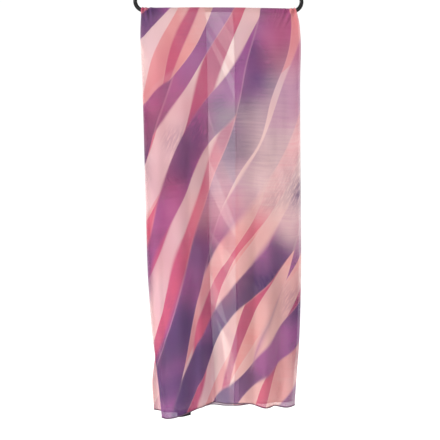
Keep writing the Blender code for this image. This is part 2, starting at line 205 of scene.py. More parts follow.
# %% Waves, puckers and creases
WAVE_EASE = 0.8
WAVES = table(
    "x_bar   x_hem  start  half_width  rise",
    (-0.190, -0.150, 0.30, 0.017, -0.016),
    (-0.105, -0.092, 0.12, 0.027, 0.018),
    (-0.022, -0.012, 0.18, 0.020, -0.020),
    (0.055, 0.058, 0.25, 0.026, 0.010),
    (0.150, 0.112, 0.50, 0.017, 0.013),
    (0.185, 0.143, 0.55, 0.016, -0.010),
    (0.225, 0.196, 0.40, 0.016, -0.009),
)
PUCKERS = table(
    "x_bar    drift  half_width  rise  reach",
    (-0.1865, 0.05, 0.0018, 0.0040, 0.013),
    (-0.1775, 0.20, 0.0024, 0.0058, 0.022),
    (-0.1652, 0.14, 0.0034, 0.0048, 0.027),
    (-0.1585, 0.10, 0.0060, 0.0024, 0.030),
    (-0.1450, 0.06, 0.0060, 0.0009, 0.026),
    (0.1290, -0.20, 0.0030, 0.0014, 0.026),
    (0.1370, -0.24, 0.0026, 0.0019, 0.022),
    (0.1448, -0.28, 0.0028, 0.0022, 0.028),
    (0.1528, -0.32, 0.0026, 0.0026, 0.024),
    (0.1612, -0.38, 0.0032, 0.0032, 0.032),
    (0.1786, -0.46, 0.0034, 0.0056, 0.030),
    (0.1886, 0.10, 0.0022, 0.0042, 0.020),
)
PUCKER_ON_TOP = 0.05
CREASES = table(
    "side  x_top  x_low  top  low  half_width  rise",
    (1, -0.0252, -0.0255, 0.24, 0.36, 0.0028, -0.0016),
    (1, 0.1720, 0.1060, 0.90, 1.06, 0.0060, -0.0035),
    (1, -0.0480, -0.0400, 0.62, 1.20, 0.0080, 0.0040),
    (1, 0.0140, 0.0200, 0.45, 1.20, 0.0090, 0.0032),
    (1, -0.1380, -0.1180, 0.55, 1.20, 0.0085, -0.0036),
    (1, 0.0900, 0.0840, 0.40, 1.15, 0.0110, -0.0028),
    (1, 0.1500, 0.1620, 0.10, 0.60, 0.0120, 0.0016),
    (1, -0.1500, -0.1420, 0.05, 0.50, 0.0130, 0.0018),
    (1, -0.0700, -0.0760, 0.10, 0.75, 0.0120, -0.0020),
    (-1, 0.0310, 0.0270, 0.30, 0.44, 0.0028, 0.0016),
    (-1, -0.1450, -0.1150, 0.88, 1.08, 0.0065, 0.0034),
    (-1, 0.0620, 0.0700, 0.50, 1.20, 0.0085, -0.0040),
    (-1, -0.0620, -0.0560, 0.60, 1.20, 0.0080, 0.0035),
    (-1, 0.1300, 0.1250, 0.35, 1.15, 0.0105, 0.0026),
    (-1, -0.1200, -0.1260, 0.08, 0.60, 0.0120, -0.0018),
)
UNEVEN_RISE = 0.0006
UNEVEN_FULL_AT = 0.1
UNEVEN_SWAY = 7.0
UNEVEN_ROWS = table(
    "width  lean  turn",
    (0.0105, 5.0, 0.4),
    (0.0173, -3.0, 1.9),
    (0.0290, 1.6, 4.1),
)


def ridges(x, middle, half_width, rise):
    """The sum of soft ridges, one for each place in middle, at each x."""
    return (rise * np.exp(-((x[:, None] - middle) / half_width) ** 2)).sum(axis=1)


def wave(x, down):
    """Rise of the waves that both halves share, towards the front."""
    middle = WAVES["x_bar"] + (WAVES["x_hem"] - WAVES["x_bar"]) * down
    swell = ramp((down - WAVES["start"]) / (1 - WAVES["start"])) ** WAVE_EASE
    return ridges(x, middle, WAVES["half_width"], WAVES["rise"] * swell)


def pucker(x, down):
    """Rise of the puckers off the bar and off the top of both halves."""
    middle = PUCKERS["x_bar"] + PUCKERS["drift"] * down
    fade = np.exp(-(down / PUCKERS["reach"]) ** 2)
    return ridges(x, middle, PUCKERS["half_width"], PUCKERS["rise"] * fade)


def crease(x, down, side):
    """Rise of the fine creases of one half, towards the front."""
    share = (down - CREASES["top"]) / (CREASES["low"] - CREASES["top"])
    middle = CREASES["x_top"] + (CREASES["x_low"] - CREASES["x_top"]) * share
    fade = (CREASES["side"] == side) * np.sin(math.pi * np.clip(share, 0, 1))
    return ridges(x, middle, CREASES["half_width"], CREASES["rise"] * fade)


def unevenness(x, down, side):
    """The small lumps that no cloth hangs without."""
    phase = x[:, None] / UNEVEN_ROWS["width"] + UNEVEN_ROWS["lean"] * down * side
    sway = np.sin(UNEVEN_SWAY * down + UNEVEN_ROWS["turn"])
    lumps = np.sin(phase + UNEVEN_ROWS["turn"] + sway)
    return UNEVEN_RISE * ramp(down / UNEVEN_FULL_AT) * lumps.sum(axis=1)


print(len(WAVES["rise"]), "waves,", len(PUCKERS["rise"]), "puckers,",
      len(CREASES["rise"]), "fine creases")

# %% [markdown]
# ## One surface for every layer
#
# The flaps lie on this inner surface, which goes over the bar in a ring, and the outer panel
# stands off it by a few millimetres, a little more beside the side folds. Making both from one
# surface keeps the layers from cutting through each other, which a simulation of four sheets of
# chiffon would find hard. Across each row the cloth is shared out by its length along the waves,
# so that the print doesn't stretch on them.

# %% The inner surface
WAVE_SAMPLES = 241
SPREAD = 0.003
PROBE_STEP = 0.0004


def across_row(s, down, side):
    """x for each distance s across the panel, shared out evenly along the waves."""
    left, right = fold_places(down, side)
    x = np.linspace(left, right, WAVE_SAMPLES)
    steps = np.hypot(np.diff(x), np.diff(wave(x, down)))
    length = np.concatenate(([0], np.cumsum(steps)))
    return np.interp(s / PANEL_WIDTH * length[-1], length, x)


def rest_point(s, v):
    """Points of the inner surface at distances s across the panel, at one v."""
    side = 1 if v >= 0 else -1
    past = abs(v) - QUARTER_TURN
    down = min(max(past, 0) / FALL_LENGTH, 1)
    turn = min(abs(v) / RING_RADIUS, math.pi / 2)
    x = across_row(s, down, side)
    over = np.clip(np.abs(x) - BEND_MIDDLE, 0, None)
    lean = np.arcsin(over / BEND_RADIUS) * np.sign(x)
    bar_rise = BEND_RADIUS * (1 - np.cos(lean)) - bar_bow(x)
    slack = PUCKER_ON_TOP + (1 - PUCKER_ON_TOP) * math.sin(turn) ** 2
    ring = RING_RADIUS + pucker(x, down) * slack
    if past < 0:
        return np.stack([x - ring * math.cos(turn) * np.sin(lean),
                         -side * ring * math.sin(turn),
                         bar_rise + ring * math.cos(turn) * np.cos(lean) - BAR_DROP], axis=-1)
    left, right = fold_places(down, side)
    drop = hem_drop((x - left) / (right - left), side) * past / FALL_LENGTH
    rise = wave(x, down) + crease(x, down, side) + unevenness(x, down, side)
    y = -side * (ring + SPREAD * ramp(down)) - rise
    return np.stack([x, y, bar_rise * (1 - down) - drop - BAR_DROP], axis=-1)


def unit(vectors):
    """The same directions, each one long."""
    return vectors / np.linalg.norm(vectors, axis=-1, keepdims=True)


def lifted_point(s, lift, v):
    """Points that stand off the inner surface by lift, square to it."""
    along = rest_point(s, v + PROBE_STEP) - rest_point(s, v - PROBE_STEP)
    across = rest_point(s + PROBE_STEP, v) - rest_point(s - PROBE_STEP, v)
    return rest_point(s, v) + unit(np.cross(along, across)) * lift[:, None]


# %% The layers
LAYER_ON_BAR = 0.0009
LAYER_IN_FALL = 0.0030
OPENING_ON_BAR = 0.0018
OPENING_IN_FALL = 0.0034
OPENING_EASE = 0.012
LOOSE_FROM = 0.06
BILLOW = 0.0010
BILLOW_WIDTH = 0.031
BILLOW_LEAN = 4.0


def panel_lift(s, v):
    """How far the outer panel stands off the flaps."""
    loose = ramp((abs(v) - QUARTER_TURN) / (LOOSE_FROM * HALF_LENGTH))
    billow = BILLOW * np.sin(s / BILLOW_WIDTH + BILLOW_LEAN * v) ** 2
    layer = LAYER_ON_BAR + (LAYER_IN_FALL + billow - LAYER_ON_BAR) * loose
    opening = OPENING_ON_BAR + (OPENING_IN_FALL - OPENING_ON_BAR) * loose
    from_fold = np.minimum(s, PANEL_WIDTH - s) - FOLD_RADIUS
    return layer + (opening - layer) * np.exp(-np.maximum(from_fold, 0) / OPENING_EASE)


def section_points(base, turn, v):
    """Points of the folded cloth at one v. turn is 0 on a flap and pi on the panel."""
    lift = panel_lift(base, v)
    outwards = np.where(base < PANEL_WIDTH / 2, -1.0, 1.0)
    s = base + outwards * np.sin(turn) * lift / 2
    return lifted_point(s, lift * (1 - np.cos(turn)) / 2, v)


def cut_across(base, turn):
    """How far across the flat cut each point of a section is."""
    left = base < PANEL_WIDTH / 2
    from_edge = FLAP_REACH - np.where(left, base, PANEL_WIDTH - base) + FOLD_RADIUS * turn
    folded = np.where(left, from_edge, SCARF_WIDTH - from_edge)
    on_panel = FLAP_REACH + (math.pi - 2) * FOLD_RADIUS + base
    return np.where(turn < math.pi, folded, on_panel)


middle_of_fall = section_points(np.array([PANEL_WIDTH / 2]), np.array([math.pi]),
                                HALF_LENGTH / 2)[0]
print("halfway down the front, the panel's middle is at", np.round(middle_of_fall * 1000), "mm")

# %% [markdown]
# ## Thin cloth from a bent grid
#
# The whole cloth is one open sheet with no thickness, because real chiffon is about 0.15 mm
# thick and is looked through, not at. A grid is the natural start: its columns become places
# across the folded section and its rows places along the scarf. The flat place of each vertex
# is kept in a UV map in metres, so that the print lies on the cloth as it did on the table.

# %% Bending a grid
WELD_DISTANCE = 1e-6


def bend_grid(name, places, flat=None, closed=False):
    """Bend a flat grid so that row j and column i of it stands at places[j, i]."""
    rows, columns = places.shape[:2]
    work = bmesh.new()
    bmesh.ops.create_grid(work, x_segments=columns - 1, y_segments=rows - 1, size=1.0)
    spots = []
    for vertex in work.verts:
        i = round((vertex.co.x + 1) / 2 * (columns - 1))
        j = round((vertex.co.y + 1) / 2 * (rows - 1))
        vertex.co = places[j, i]
        spots.append((j, i))
    work.verts.index_update()
    if flat is not None:
        uv = work.loops.layers.uv.new("flat_cloth")
        for face in work.faces:
            for loop in face.loops:
                loop[uv].uv = flat[spots[loop.vert.index]]
    if closed:
        bmesh.ops.remove_doubles(work, verts=work.verts, dist=WELD_DISTANCE)
        bmesh.ops.recalc_face_normals(work, faces=work.faces)
    return new_piece(name, work)


def new_piece(name, work):
    """Turn a finished bmesh into a smooth-shaded piece at the origin."""
    mesh = bpy.data.meshes.new(name)
    work.to_mesh(mesh)
    work.free()
    mesh.shade_smooth()
    piece = bpy.data.objects.new(name, mesh)
    bpy.context.scene.collection.objects.link(piece)
    triangles = sum(len(face.vertices) - 2 for face in mesh.polygons)
    print(f"{name}: {triangles} triangles")
    return piece


# %% Stations across and along
PANEL_COLUMNS = 150
FLAP_COLUMNS = 52
FOLD_STEPS = 9
CROWDING = 0.32
QUARTER_ROWS = 8
TOP_ROWS = 24
TOP_LENGTH = 0.080
FALL_ROWS = 118


def crowded(count, span):
    """Places from 0 to span, closer together at both ends."""
    t = np.linspace(-1, 1, count + 1)
    return span / 2 * (1 + (1 + CROWDING) * t - CROWDING * t ** 3)


def c_section(reach, fineness=1):
    """The C across the folded cloth, as a base and a turn for each column."""
    flap = FOLD_RADIUS + crowded(FLAP_COLUMNS * fineness, reach - FOLD_RADIUS)
    panel = FOLD_RADIUS + crowded(PANEL_COLUMNS * fineness, PANEL_WIDTH - 2 * FOLD_RADIUS)
    turns = math.pi * np.arange(1, FOLD_STEPS) / FOLD_STEPS
    fold = np.full_like(turns, FOLD_RADIUS)
    base = np.concatenate((flap[::-1], fold, panel, PANEL_WIDTH - fold, PANEL_WIDTH - flap))
    turn = np.concatenate((0 * flap, turns, 0 * panel + math.pi, turns[::-1], 0 * flap))
    return base, turn


def rows_along(end, fineness=1):
    """Places along the scarf, from the front hem over the bar to the back hem."""
    quarter = QUARTER_TURN * np.arange(1, QUARTER_ROWS + 1) / QUARTER_ROWS
    top = np.linspace(QUARTER_TURN, TOP_LENGTH, TOP_ROWS * fineness + 1)[1:]
    fall = np.linspace(TOP_LENGTH, end, FALL_ROWS * fineness + 1)[1:]
    half = np.concatenate((quarter, top, fall))
    return np.concatenate((half[::-1], [0.0], -half))


# %% The cloth
def make_cloth():
    """The whole cloth as one sheet. Its edges end in the middle of the rolled hems."""
    base, turn = c_section(FLAP_REACH - ROLL_WIDTH / 2)
    rows = rows_along(HALF_LENGTH - ROLL_WIDTH / 2)
    places = np.array([section_points(base, turn, v) for v in rows])
    across, along = np.meshgrid(cut_across(base, turn), rows)
    return bend_grid("printed_cloth", places, np.stack([across, along], axis=-1))


cloth = make_cloth()
cloth_area = sum(face.area for face in cloth.data.polygons)
print(f"the cloth measures {cloth_area:.3f} square metres")

# %% [markdown]
# ## Rolled hems
#
# A chiffon edge frays, so it is rolled tight and overstitched. Each hem here is a flattened tube
# between two rails on the cloth, its outer and its inner edge. The rails come from the same
# surface as the cloth, so each hem follows every wave and fold. The four hems keep the flat
# place of the cloth they are rolled from, and so they carry its print.

# %% Rails of the hems
def end_rails(side):
    """Outer and inner rail of a short hem, and its flat places."""
    base, turn = c_section(FLAP_REACH, fineness=2)
    outer = section_points(base, turn, side * HALF_LENGTH)
    inner = section_points(base, turn, side * (HALF_LENGTH - ROLL_WIDTH))
    flat = np.stack([cut_across(base, turn), np.full_like(base, side * HALF_LENGTH)], axis=-1)
    return outer, inner, flat


def long_rails(edge):
    """Outer and inner rail of a long hem, and its flat places."""
    reach = np.array([FLAP_REACH, FLAP_REACH - ROLL_WIDTH])
    base = reach if edge == "left" else PANEL_WIDTH - reach
    rows = rows_along(HALF_LENGTH, fineness=2)
    rails = np.array([section_points(base, np.zeros(2), v) for v in rows])
    flat_edge = 0.0 if edge == "left" else SCARF_WIDTH
    return rails[:, 0], rails[:, 1], np.stack([np.full_like(rows, flat_edge), rows], axis=-1)


RAILS = {
    "front_rolled_hem": end_rails(1),
    "back_rolled_hem": end_rails(-1),
    "left_rolled_hem": long_rails("left"),
    "right_rolled_hem": long_rails("right"),
}

# %% Rolling a hem between its rails
ROLL_SIDES = 10
ROLL_TAPER = (0.0, 0.75)


def hem_axes(outer, inner):
    """Middle line of a hem, with the directions of its width, its length and its face."""
    middle = (outer + inner) / 2
    widthways = unit(outer - inner)
    lengthways = unit(np.gradient(middle, axis=0))
    return middle, widthways, lengthways, unit(np.cross(lengthways, widthways))


def roll_hem(name, outer, inner, flat):
    """A flattened tube with closed, tapered ends."""
    middle, widthways, _, square = hem_axes(outer, inner)
    taper = np.ones(len(middle))
    taper[:len(ROLL_TAPER)] = ROLL_TAPER
    taper[-len(ROLL_TAPER):] = ROLL_TAPER[::-1]
    angle = np.linspace(0, 2 * math.pi, ROLL_SIDES + 1)
    out = np.cos(angle)[None, :, None] * widthways[:, None] * ROLL_WIDTH / 2
    up = np.sin(angle)[None, :, None] * square[:, None] * ROLL_THICKNESS / 2
    places = middle[:, None] + (out + up) * taper[:, None, None]
    flats = np.repeat(flat[:, None], ROLL_SIDES + 1, axis=1)
    return bend_grid(name, places, flats, closed=True)


hems = {name: roll_hem(name, *rails) for name, rails in RAILS.items()}

# %% [markdown]
# ## Stitches
#
# The overstitching shows as short slanted bars of thread across both faces of the roll. There
# are thousands, so each bar is a five-sided cone of equal radii with only a few faces, and all
# of one hem's bars are one mesh.

# %% Stitching a hem
STITCH_PITCH = 0.0034
STITCH_LENGTH = 0.0019
STITCH_RADIUS = 0.00016
STITCH_SLANT = math.radians(28)
STITCH_SIDES = 5


def stitch_hem(name, outer, inner):
    """Slanted bars of thread on both faces of a hem."""
    middle, widthways, lengthways, square = hem_axes(outer, inner)
    steps = np.linalg.norm(np.diff(middle, axis=0), axis=1)
    length = np.concatenate(([0], np.cumsum(steps)))
    work = bmesh.new()
    for at in np.arange(STITCH_PITCH, length[-1] - STITCH_PITCH, STITCH_PITCH):
        k = min(np.searchsorted(length, at), len(steps))
        share = (at - length[k - 1]) / steps[k - 1]
        spot = middle[k - 1] + (middle[k] - middle[k - 1]) * share
        for face in (1, -1):
            lay = unit(widthways[k] * math.cos(STITCH_SLANT)
                       + lengthways[k] * face * math.sin(STITCH_SLANT))
            up = square[k] * face
            matrix = Matrix(np.stack([np.cross(up, lay), up, lay], axis=1)).to_4x4()
            matrix.translation = spot + up * ROLL_THICKNESS / 2
            bmesh.ops.create_cone(work, cap_ends=True, segments=STITCH_SIDES, depth=STITCH_LENGTH,
                                  radius1=STITCH_RADIUS, radius2=STITCH_RADIUS, matrix=matrix)
    return new_piece(name, work)


stitches = {name: stitch_hem(name.replace("rolled_hem", "stitches"), outer, inner)
            for name, (outer, inner, _) in RAILS.items()}

# %% [markdown]
# ## The ribbon loop
#
# A short piece of black ribbon is folded in half and caught in the back hem, and a corner of it
# shows below the front one. A profile is drawn down one leaf, round the fold and up the other
# leaf, and every point of it is taken from the surface of the back half, so the ribbon hangs
# with the cloth. Solidify gives it the thickness of ribbon.

# %% The loop
LABEL_MIDDLE = -0.084
LABEL_WIDTH = 0.034
LABEL_ON_HEM = 0.0055
LABEL_BELOW = 0.0117
LABEL_SINK = 0.0014
LEAF_GAP = 0.0006
BULGE = 0.0009
LEAF_CLOSING = 8
RIBBON_THICKNESS = 0.0003
LABEL_COLUMNS = 24
LEAF_ROWS = 14


def make_label():
    """The folded ribbon loop on the inside of the back panel's hem."""
    s = np.linspace(0, PANEL_WIDTH, WAVE_SAMPLES)
    x = rest_point(s, -HALF_LENGTH)[:, 0]
    edges = np.interp([LABEL_MIDDLE - LABEL_WIDTH / 2, LABEL_MIDDLE + LABEL_WIDTH / 2], x, s)
    across = np.linspace(*edges, LABEL_COLUMNS + 1)
    share = np.linspace(0, 1, LEAF_ROWS + 1)
    down = np.concatenate((share, share[-2::-1]))
    leaf = np.concatenate((np.ones(LEAF_ROWS), [0], -np.ones(LEAF_ROWS)))
    places, flats = [], []
    for part, face in zip(down, leaf):
        reach = (LABEL_BELOW + LABEL_ON_HEM) * math.sin(part * math.pi / 2)
        v = HALF_LENGTH - LABEL_ON_HEM + reach
        gap = LEAF_GAP + (BULGE - LEAF_GAP) * part ** 2
        open_by = face * gap * math.cos(part ** LEAF_CLOSING * math.pi / 2)
        lift = panel_lift(across, -v) - LABEL_SINK + open_by
        places.append(lifted_point(across, lift, -v))
        # On the flat the two leaves lie apart, so that neither is over the other.
        flats.append(np.stack([across, np.full_like(across, v + face * SCARF_WIDTH)], axis=-1))
    return bend_grid("ribbon_loop", np.array(places), np.array(flats))


label = make_label()
wall = label.modifiers.new("ribbon", "SOLIDIFY")
wall.thickness = RIBBON_THICKNESS
wall.offset = 0.0

# %% [markdown]
# ## The hanger
#
# The hanger is one moulding: a closed loop of tube and a thinner hook. A tube is a grid too,
# rolled round a line, and the line is made of arcs and straight runs from a few radii. The
# stem flares where it meets the peak, as a moulding does, and a Boolean joins the two.

# %% Lines of the hanger
HOOK_RADIUS = 0.004
SHOULDER_SLOPE = math.radians(22)
PEAK_RADIUS = 0.030
CROWN_RADIUS = 0.0215
CROWN_START = math.radians(200)
CROWN_END = math.radians(-50)
CROWN_HEIGHT = HOOK_RADIUS - CROWN_RADIUS
STEM_SINK = 0.4
FOOT_CAP = 0.0002
ARC_STEP = math.radians(3)
RUN_STEP = 0.004


def arc(middle, radius, start, end):
    """Points along an arc, both ends included."""
    count = math.ceil(abs(end - start) / ARC_STEP)
    angles = np.linspace(start, end, count + 1)
    return np.stack([middle[0] + radius * np.cos(angles),
                     middle[1] + radius * np.sin(angles)], axis=-1)


def run(start, end):
    """Points along a straight run, without its ends."""
    count = max(2, round(math.dist(start, end) / RUN_STEP))
    share = np.linspace(0, 1, count + 1)[1:-1, None]
    return np.array(start) + (np.array(end) - np.array(start)) * share


def bowed(line):
    """The same line, lowered by the bow of the bar."""
    return np.stack([line[:, 0], line[:, 1] - bar_bow(line[:, 0])], axis=-1)


def loop_line():
    """Bowed bar, bends, sloping shoulders and rounded peak, closed."""
    turn = math.pi / 2 - SHOULDER_SLOPE
    plain = arc((BEND_MIDDLE, BEND_RADIUS - BAR_DROP), BEND_RADIUS, -math.pi / 2, turn)
    start_x, start_z = plain[-1]
    peak = start_z + start_x * math.tan(SHOULDER_SLOPE)
    peak_middle = peak - PEAK_RADIUS / math.cos(SHOULDER_SLOPE)
    right, left = bowed(plain), bowed(plain[::-1] * (-1, 1))
    top = bowed(arc((0.0, peak_middle), PEAK_RADIUS, turn, math.pi - turn))
    bar = bowed(run((-BEND_MIDDLE, -BAR_DROP), (BEND_MIDDLE, -BAR_DROP)))
    line = [right, run(right[-1], top[0]), top, run(top[-1], left[0]), left, bar, right[:1]]
    return np.concatenate(line), peak_middle + PEAK_RADIUS


def hook_line(foot):
    """Crown, turn back to the middle, and straight stem down to its foot."""
    crown = arc((0.0, CROWN_HEIGHT), CROWN_RADIUS, CROWN_START, CROWN_END)
    side = CROWN_RADIUS * math.cos(CROWN_END)
    radius = side / (1 - math.cos(CROWN_END))
    bend_middle = crown[-1] - radius * np.array([math.cos(CROWN_END), math.sin(CROWN_END)])
    back = 2 * crown[-1] - arc(bend_middle, radius, CROWN_END, 0.0)
    foot_at = (0.0, foot)
    return np.concatenate([crown, back[1:], run(back[-1], foot_at), [foot_at]])


loop, peak = loop_line()
hook = hook_line(peak - TUBE_RADIUS * STEM_SINK)
print(f"the loop's line has {len(loop)} points, its peak {-peak * 1000:.0f} mm below the rail")

# %% Tubes
TUBE_SIDES = 32
TIP_ROWS = 8
FLARE = 0.0008
FLARE_LENGTH = 0.004
SHARP_ANGLE = math.radians(40)


def tube(name, line, radii, closed_loop):
    """A round tube on a line of the XZ plane."""
    along = np.gradient(line, axis=0)
    if closed_loop:
        along[0] = along[-1] = line[1] - line[-2]
    along = unit(along)
    sideways = np.stack([-along[:, 1], 0 * along[:, 0], along[:, 0]], axis=-1)
    angle = np.linspace(0, 2 * math.pi, TUBE_SIDES + 1)
    middle = np.stack([line[:, 0], 0 * line[:, 0], line[:, 1]], axis=-1)
    out = np.cos(angle)[None, :, None] * sideways[:, None]
    out = out + np.sin(angle)[None, :, None] * np.array([0.0, 1.0, 0.0])
    return bend_grid(name, middle[:, None] + out * radii[:, None, None], closed=True)


def make_hanger():
    """The loop and the hook, joined."""
    body = tube("moulded_hanger", loop, np.full(len(loop), TUBE_RADIUS), closed_loop=True)
    tip_angle = np.linspace(math.pi / 2, 0, TIP_ROWS + 1)[:-1, None]
    away = unit(hook[0] - hook[1])
    tip = hook[0] + away * HOOK_RADIUS * np.sin(tip_angle)
    above_peak = hook[:, 1] - (peak + TUBE_RADIUS)
    flare = FLARE * np.exp(-np.clip(above_peak, 0, None) / FLARE_LENGTH)
    foot_end = hook[-1:] - (0, FOOT_CAP)
    line = np.concatenate([tip, hook, foot_end])
    radii = np.concatenate([HOOK_RADIUS * np.cos(tip_angle[:, 0]), HOOK_RADIUS + flare, [0.0]])
    stem = tube("hook", line, radii, closed_loop=False)
    union = body.modifiers.new("hook", "BOOLEAN")
    union.operation = "UNION"
    union.solver = "EXACT"
    union.object = stem
    graph = bpy.context.evaluated_depsgraph_get()
    joined = bpy.data.meshes.new_from_object(body.evaluated_get(graph))
    body.modifiers.clear()
    body.data = joined
    bpy.data.objects.remove(stem)
    joined.shade_smooth()
    joined.set_sharp_from_angle(angle=SHARP_ANGLE)
    return body


hanger = make_hanger()
print("joined hanger:", len(hanger.data.polygons), "faces")

# %% [markdown]
# ## Finishes as sums
#
# Shader graphs grow unreadable when each node is placed and linked by hand. Here one small class
# wraps a socket, so that a sum in Python adds the Math nodes, and one method adds any other node.

# %% A socket to do sums with
class Amount:
    """A socket of a finish. A sum on it adds Math nodes."""

    def __init__(self, finish, socket):
        self.finish = finish
        self.socket = socket

    def combine(self, operation, first, second):
        return self.finish.node("ShaderNodeMath", {"operation": operation}, {0: first, 1: second})

    def __add__(self, other):
        return self.combine("ADD", self, other)

    def __sub__(self, other):
        return self.combine("SUBTRACT", self, other)

    def __rsub__(self, other):
        return self.combine("SUBTRACT", other, self)

    def __mul__(self, other):
        return self.combine("MULTIPLY", self, other)

    __radd__ = __add__
    __rmul__ = __mul__

    def __truediv__(self, other):
        return self.combine("DIVIDE", self, other)


# %% A finish
# Sockets that are told apart by number: the two colours and the result of a Mix node, and the
# Object output of a Texture Coordinate node.
MIX_FIRST = 6
MIX_SECOND = 7
MIX_RESULT = 2
OBJECT_OUTPUT = 3


class Finish:
    """A material's node tree."""

    def __init__(self, name):
        self.material = bpy.data.materials.new(name)
        self.material.use_nodes = True
        self.tree = self.material.node_tree
        self.tree.nodes.clear()

    def node(self, kind, settings=None, inputs=None, output=0):
        """Add a node, with its settings first and then the values or links of its sockets."""
        made = self.tree.nodes.new(kind)
        for name, value in (settings or {}).items():
            setattr(made, name, value)
        for name, value in (inputs or {}).items():
            if isinstance(value, Amount):
                self.tree.links.new(value.socket, made.inputs[name])
            else:
                made.inputs[name].default_value = value
        return Amount(self, made.outputs[output]) if made.outputs else None

    def maths(self, operation, amount):
        """A Math node with one input, such as SINE or FRACT."""
        return self.node("ShaderNodeMath", {"operation": operation}, {0: amount})

    def noise(self, where, scale, detail=2.0, roughness=0.5):
        """Soft noise from about 0.2 to 0.8."""
        inputs = {"Vector": where, "Scale": scale, "Detail": detail, "Roughness": roughness}
        return self.node("ShaderNodeTexNoise", {}, inputs)

    def between(self, amount, low, high):
        """0 below low, 1 above high, and a smooth ease between them."""
        return self.node("ShaderNodeMapRange", {"interpolation_type": "SMOOTHSTEP"},
                         {"Value": amount, "From Min": low, "From Max": high})

    def blend(self, share, first, second):
        """The first colour, going over to the second by share."""
        inputs = {0: share, MIX_FIRST: first, MIX_SECOND: second}
        return self.node("ShaderNodeMix", {"data_type": "RGBA"}, inputs, MIX_RESULT)

    def place(self, x, y, z=0.0):
        """A vector made of three amounts."""
        return self.node("ShaderNodeCombineXYZ", {}, {0: x, 1: y, 2: z})

    def axis(self, where, number):
        """One amount of a vector, counted from 0 for x."""
        return self.node("ShaderNodeSeparateXYZ", {}, {0: where}, number)

    def object_place(self):
        """Where a point is on its own object, in metres."""
        return self.node("ShaderNodeTexCoord", {}, {}, OBJECT_OUTPUT)

    def bump(self, height, distance, strength=1.0):
        """A normal bent by a height. distance is the height's real size in metres."""
        return self.node("ShaderNodeBump", {},
                         {"Height": height, "Distance": distance, "Strength": strength})

    def principled(self, **values):
        """The main shader. Its sockets are named with _ for each space."""
        inputs = {name.replace("_", " "): value for name, value in values.items()}
        return self.node("ShaderNodeBsdfPrincipled", {}, inputs)

    def wear(self, shader, *pieces):
        """Finish the tree with its output, and put the material on pieces."""
        self.node("ShaderNodeOutputMaterial", {}, {"Surface": shader})
        for piece in pieces:
            piece.data.materials.clear()
            piece.data.materials.append(self.material)


# %% [markdown]
# ## The print
#
# The scarf carries a generic painted design: long flames of ink that lean up to the right, with
# misty clouds over them. A flame is a band of a smooth field, the distance across it bent by slow
# noise. A second noise lifts and lowers that field, so the bands swell, merge and taper to
# points. Each family of flames is painted over the last, with a pale rim along its crisp edges.
# All of it is worked out on the flat cut in metres, so the folded layers show different parts of
# it, as on the real thing. Plain washes run along both long sides of the cut, which are folded
# in, so that the flames in front stay clear.

# %% Inks
def linear(value):
    """An sRGB value from 0 to 255 on the straight scale of light. The numbers are sRGB's own."""
    share = value / 255
    return share / 12.92 if share <= 0.04045 else ((share + 0.055) / 1.055) ** 2.4


def ink(red, green, blue):
    """A colour given in sRGB, as a shader takes it."""
    return linear(red), linear(green), linear(blue), 1.0


INKS = {
    "shell": ink(230, 198, 193),
    "blush": ink(216, 166, 160),
    "salmon": ink(211, 134, 130),
    "rose": ink(190, 70, 98),
    "raspberry": ink(156, 56, 94),
    "mauve": ink(134, 66, 124),
    "lilac": ink(172, 122, 172),
    "plum": ink(62, 34, 86),
}
FLAMES = (
    # seed, lean in degrees, metres from flame to flame, share of ink, first ink, second ink
    (3.4, 57, 0.170, 0.46, "salmon", "blush"),
    (1.7, 66, 0.112, 0.32, "rose", "raspberry"),
    (5.9, 61, 0.136, 0.34, "mauve", "plum"),
    (8.2, 70, 0.230, 0.18, "plum", "mauve"),
)
CLOUDS = {
    # seed, width of one cloud in metres, noise where it begins, noise where it is full
    "blush": (2.0, 0.16, 0.38, 0.60),
    "lilac": (61.0, 0.16, 0.36, 0.62),
    "salmon": (71.0, 0.13, 0.50, 0.66),
    "mauve": (83.0, 0.12, 0.52, 0.68),
    "haze": (11.0, 0.17, 0.48, 0.70),
    "glow": (23.0, 0.14, 0.48, 0.70),
    "smudge": (37.0, 0.12, 0.54, 0.72),
    "mist": (40.0, 0.12, 0.50, 0.72),
}
print(len(FLAMES), "families of flames and", len(CLOUDS), "clouds in", len(INKS), "inks")

# %% Clouds on the flat cut
CLOUD_STRETCH = 0.7
CLOUD_SCALE = 0.5
CLOUD_DETAIL = 2.5


def flat_place(finish):
    """Distances across and along the flat cut, in metres."""
    where = finish.node("ShaderNodeUVMap", {"uv_map": "flat_cloth"})
    return finish.axis(where, 0), finish.axis(where, 1)


def cloud(finish, across, along, kind, further=0.0):
    """A soft mask of one kind of cloud. further is added to its seed for a new layout."""
    seed, size, low, high = CLOUDS[kind]
    where = finish.place(across, along * CLOUD_STRETCH, seed + further)
    return finish.between(finish.noise(where, CLOUD_SCALE / size, CLOUD_DETAIL), low, high)


# %% Flames
NOISE_MIDDLE = 0.5
BEND_STRETCH = 0.6
BEND_SCALE = 2.3
BEND_REACH = 0.25
SWELL_SEED = 7
SWELL_STRETCH = 0.45
SWELL_SCALE = 5.0
SWELL_RISE = 1.6
EDGE_BLUR = 0.012
MIST_OUTSIDE = 0.16
MIST_INSIDE = 0.10
RIM_FROM = 0.060
RIM_TO = 0.025
RIM_SHARE = 0.15
DRIFT_SCALE = 5.0
DRIFT_BRUSH = 0.10
DRIFT_FROM = 0.40
DRIFT_TO = 0.66


